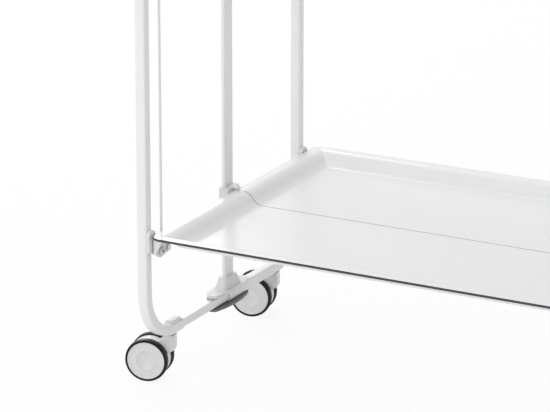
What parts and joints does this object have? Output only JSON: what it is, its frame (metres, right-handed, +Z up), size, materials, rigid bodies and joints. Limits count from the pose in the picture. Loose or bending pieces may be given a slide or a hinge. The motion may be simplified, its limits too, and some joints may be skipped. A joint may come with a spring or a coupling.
{
  "type": "folding serving trolley",
  "caption": "Folding tray trolley: dished trays that break along a hinged middle line, hung between two sliding tube end frames on twin-wheel castors.",
  "frame": {"origin": "on the floor, midway between the ends and midway between the front and rear edges of the trays, under the fold line", "axes": "+X along the trays towards the right end, +Y from the front to the rear, +Z up"},
  "size_m": [0.751, 0.442, 0.8153],
  "materials": {
    "white_paint": "semi-gloss white powder coat",
    "white_moulding": "satin white moulding",
    "tray_laminate": "smooth white laminate with a dark core edge",
    "black_tyre": "matt black",
    "castor_shell": "satin white",
    "steel_fastener": "bright zinc",
    "hinge_steel": "rolled steel",
    "dark_plate": "dark grey satin",
    "bush_plastic": "grey nylon"
  },
  "bodies": {
    "front_frame": {"front_tube_left": "white_paint", "front_tube_right": "white_paint", "front_slide_rails": "white_paint", "front_castor_bushes": "bush_plastic", "front_post_brackets": "white_moulding", "front_pivot_bolts": "steel_fastener"},
    "rear_frame": {"rear_tube_left": "white_paint", "rear_tube_right": "white_paint", "rear_castor_bushes": "bush_plastic", "rear_post_brackets": "white_moulding", "rear_pivot_bolts": "steel_fastener"},
    "centre_posts": {"centre_post_left": "white_paint", "centre_post_right": "white_paint", "lower_saddles": "white_moulding", "upper_saddles": "white_moulding", "saddle_base_plates": "dark_plate"},
    "lower_front_tray": {"lower_front_tray": "tray_laminate", "lower_front_lugs": "white_moulding", "lower_hinge_front_leaves": "hinge_steel", "lower_hinge_pin": "hinge_steel"},
    "lower_rear_tray": {"lower_rear_tray": "tray_laminate", "lower_rear_lugs": "white_moulding", "lower_hinge_rear_leaves": "hinge_steel"},
    "lower_sliders": {"lower_sliders": "white_moulding"},
    "upper_front_tray": {"upper_front_tray": "tray_laminate", "upper_front_lugs": "white_moulding", "upper_hinge_front_leaves": "hinge_steel", "upper_hinge_pin": "hinge_steel"},
    "upper_rear_tray": {"upper_rear_tray": "tray_laminate", "upper_rear_lugs": "white_moulding", "upper_hinge_rear_leaves": "hinge_steel"},
    "upper_sliders": {"upper_sliders": "white_moulding"},
    "link_rods": {"link_rods": "white_paint", "link_rod_pins": "steel_fastener"},
    "stay_links": {"stay_links": "white_paint", "stay_link_pins": "steel_fastener"},
    "front_left_castor": {"front_left_castor_body": "castor_shell", "front_left_castor_pins": "steel_fastener"},
    "front_left_wheel_a": {"front_left_tyre_a": "black_tyre", "front_left_hub_a": "castor_shell"},
    "front_left_wheel_b": {"front_left_tyre_b": "black_tyre", "front_left_hub_b": "castor_shell"},
    "front_right_castor": {"front_right_castor_body": "castor_shell", "front_right_castor_pins": "steel_fastener"},
    "front_right_wheel_a": {"front_right_tyre_a": "black_tyre", "front_right_hub_a": "castor_shell"},
    "front_right_wheel_b": {"front_right_tyre_b": "black_tyre", "front_right_hub_b": "castor_shell"},
    "rear_left_castor": {"rear_left_castor_body": "castor_shell", "rear_left_castor_pins": "steel_fastener"},
    "rear_left_wheel_a": {"rear_left_tyre_a": "black_tyre", "rear_left_hub_a": "castor_shell"},
    "rear_left_wheel_b": {"rear_left_tyre_b": "black_tyre", "rear_left_hub_b": "castor_shell"},
    "rear_right_castor": {"rear_right_castor_body": "castor_shell", "rear_right_castor_pins": "steel_fastener"},
    "rear_right_wheel_a": {"rear_right_tyre_a": "black_tyre", "rear_right_hub_a": "castor_shell"},
    "rear_right_wheel_b": {"rear_right_tyre_b": "black_tyre", "rear_right_hub_b": "castor_shell"}
  },
  "joints": [
    {"name": "tray_fold", "type": "hinge", "parent": "front_frame", "child": "lower_front_tray", "pos_m": [0, -0.2, 0.188], "axis": [1, 0, 0], "range_deg": [0, 45]},
    {"name": "lower_rear_fold", "type": "hinge", "parent": "lower_front_tray", "child": "lower_rear_tray", "pos_m": [0, 0, 0.188], "axis": [1, 0, 0], "range_deg": [-90, 0]},
    {"name": "rear_frame_pivot", "type": "hinge", "parent": "lower_rear_tray", "child": "rear_frame", "pos_m": [0, 0.2, 0.188], "axis": [1, 0, 0], "range_deg": [0, 45]},
    {"name": "upper_front_fold", "type": "hinge", "parent": "front_frame", "child": "upper_front_tray", "pos_m": [0, -0.2, 0.608], "axis": [1, 0, 0], "range_deg": [0, 45]},
    {"name": "upper_rear_fold", "type": "hinge", "parent": "upper_front_tray", "child": "upper_rear_tray", "pos_m": [0, 0, 0.608], "axis": [1, 0, 0], "range_deg": [-90, 0]},
    {"name": "link_rod_pivot", "type": "hinge", "parent": "lower_front_tray", "child": "link_rods", "pos_m": [0, -0.184, 0.188], "axis": [1, 0, 0], "range_deg": [-45, 0]},
    {"name": "stay_link_pivot", "type": "hinge", "parent": "lower_front_tray", "child": "stay_links", "pos_m": [0, -0.1, 0.188], "axis": [1, 0, 0], "range_deg": [-90, 0]},
    {"name": "centre_post_pivot", "type": "hinge", "parent": "stay_links", "child": "centre_posts", "pos_m": [0, 0, 0.188], "axis": [1, 0, 0], "range_deg": [0, 45]},
    {"name": "lower_slider_pivot", "type": "hinge", "parent": "lower_front_tray", "child": "lower_sliders", "pos_m": [0, 0, 0.188], "axis": [1, 0, 0], "range_deg": [-45, 0]},
    {"name": "upper_slider_pivot", "type": "hinge", "parent": "upper_front_tray", "child": "upper_sliders", "pos_m": [0, 0, 0.608], "axis": [1, 0, 0], "range_deg": [-45, 0]},
    {"name": "front_left_swivel", "type": "hinge", "parent": "front_frame", "child": "front_left_castor", "pos_m": [-0.318, -0.147, 0.05], "axis": [0, 0, 1], "continuous": true},
    {"name": "front_left_roll_a", "type": "hinge", "parent": "front_left_castor", "child": "front_left_wheel_a", "pos_m": [-0.34528, -0.1533, 0.0275], "axis": [-0.225, 0.9744, 0], "continuous": true},
    {"name": "front_left_roll_b", "type": "hinge", "parent": "front_left_castor", "child": "front_left_wheel_b", "pos_m": [-0.34528, -0.1533, 0.0275], "axis": [-0.225, 0.9744, 0], "continuous": true},
    {"name": "front_right_swivel", "type": "hinge", "parent": "front_frame", "child": "front_right_castor", "pos_m": [0.318, -0.147, 0.05], "axis": [0, 0, 1], "continuous": true},
    {"name": "front_right_roll_a", "type": "hinge", "parent": "front_right_castor", "child": "front_right_wheel_a", "pos_m": [0.34528, -0.1533, 0.0275], "axis": [-0.225, -0.9744, 0], "continuous": true},
    {"name": "front_right_roll_b", "type": "hinge", "parent": "front_right_castor", "child": "front_right_wheel_b", "pos_m": [0.34528, -0.1533, 0.0275], "axis": [-0.225, -0.9744, 0], "continuous": true},
    {"name": "rear_left_swivel", "type": "hinge", "parent": "rear_frame", "child": "rear_left_castor", "pos_m": [-0.318, 0.127, 0.05], "axis": [0, 0, 1], "continuous": true},
    {"name": "rear_left_roll_a", "type": "hinge", "parent": "rear_left_castor", "child": "rear_left_wheel_a", "pos_m": [-0.34528, 0.1207, 0.0275], "axis": [-0.225, 0.9744, 0], "continuous": true},
    {"name": "rear_left_roll_b", "type": "hinge", "parent": "rear_left_castor", "child": "rear_left_wheel_b", "pos_m": [-0.34528, 0.1207, 0.0275], "axis": [-0.225, 0.9744, 0], "continuous": true},
    {"name": "rear_right_swivel", "type": "hinge", "parent": "rear_frame", "child": "rear_right_castor", "pos_m": [0.318, 0.127, 0.05], "axis": [0, 0, 1], "continuous": true},
    {"name": "rear_right_roll_a", "type": "hinge", "parent": "rear_right_castor", "child": "rear_right_wheel_a", "pos_m": [0.34528, 0.1207, 0.0275], "axis": [-0.225, -0.9744, 0], "continuous": true},
    {"name": "rear_right_roll_b", "type": "hinge", "parent": "rear_right_castor", "child": "rear_right_wheel_b", "pos_m": [0.34528, 0.1207, 0.0275], "axis": [-0.225, -0.9744, 0], "continuous": true}
  ],
  "couplings": [
    {"joint": "lower_rear_fold", "follows": "tray_fold", "ratio": -2},
    {"joint": "rear_frame_pivot", "follows": "tray_fold", "ratio": 1},
    {"joint": "upper_front_fold", "follows": "tray_fold", "ratio": 1},
    {"joint": "upper_rear_fold", "follows": "tray_fold", "ratio": -2},
    {"joint": "link_rod_pivot", "follows": "tray_fold", "ratio": -1},
    {"joint": "stay_link_pivot", "follows": "tray_fold", "ratio": -2},
    {"joint": "centre_post_pivot", "follows": "tray_fold", "ratio": 1},
    {"joint": "lower_slider_pivot", "follows": "tray_fold", "ratio": -1},
    {"joint": "upper_slider_pivot", "follows": "tray_fold", "ratio": -1}
  ]
}
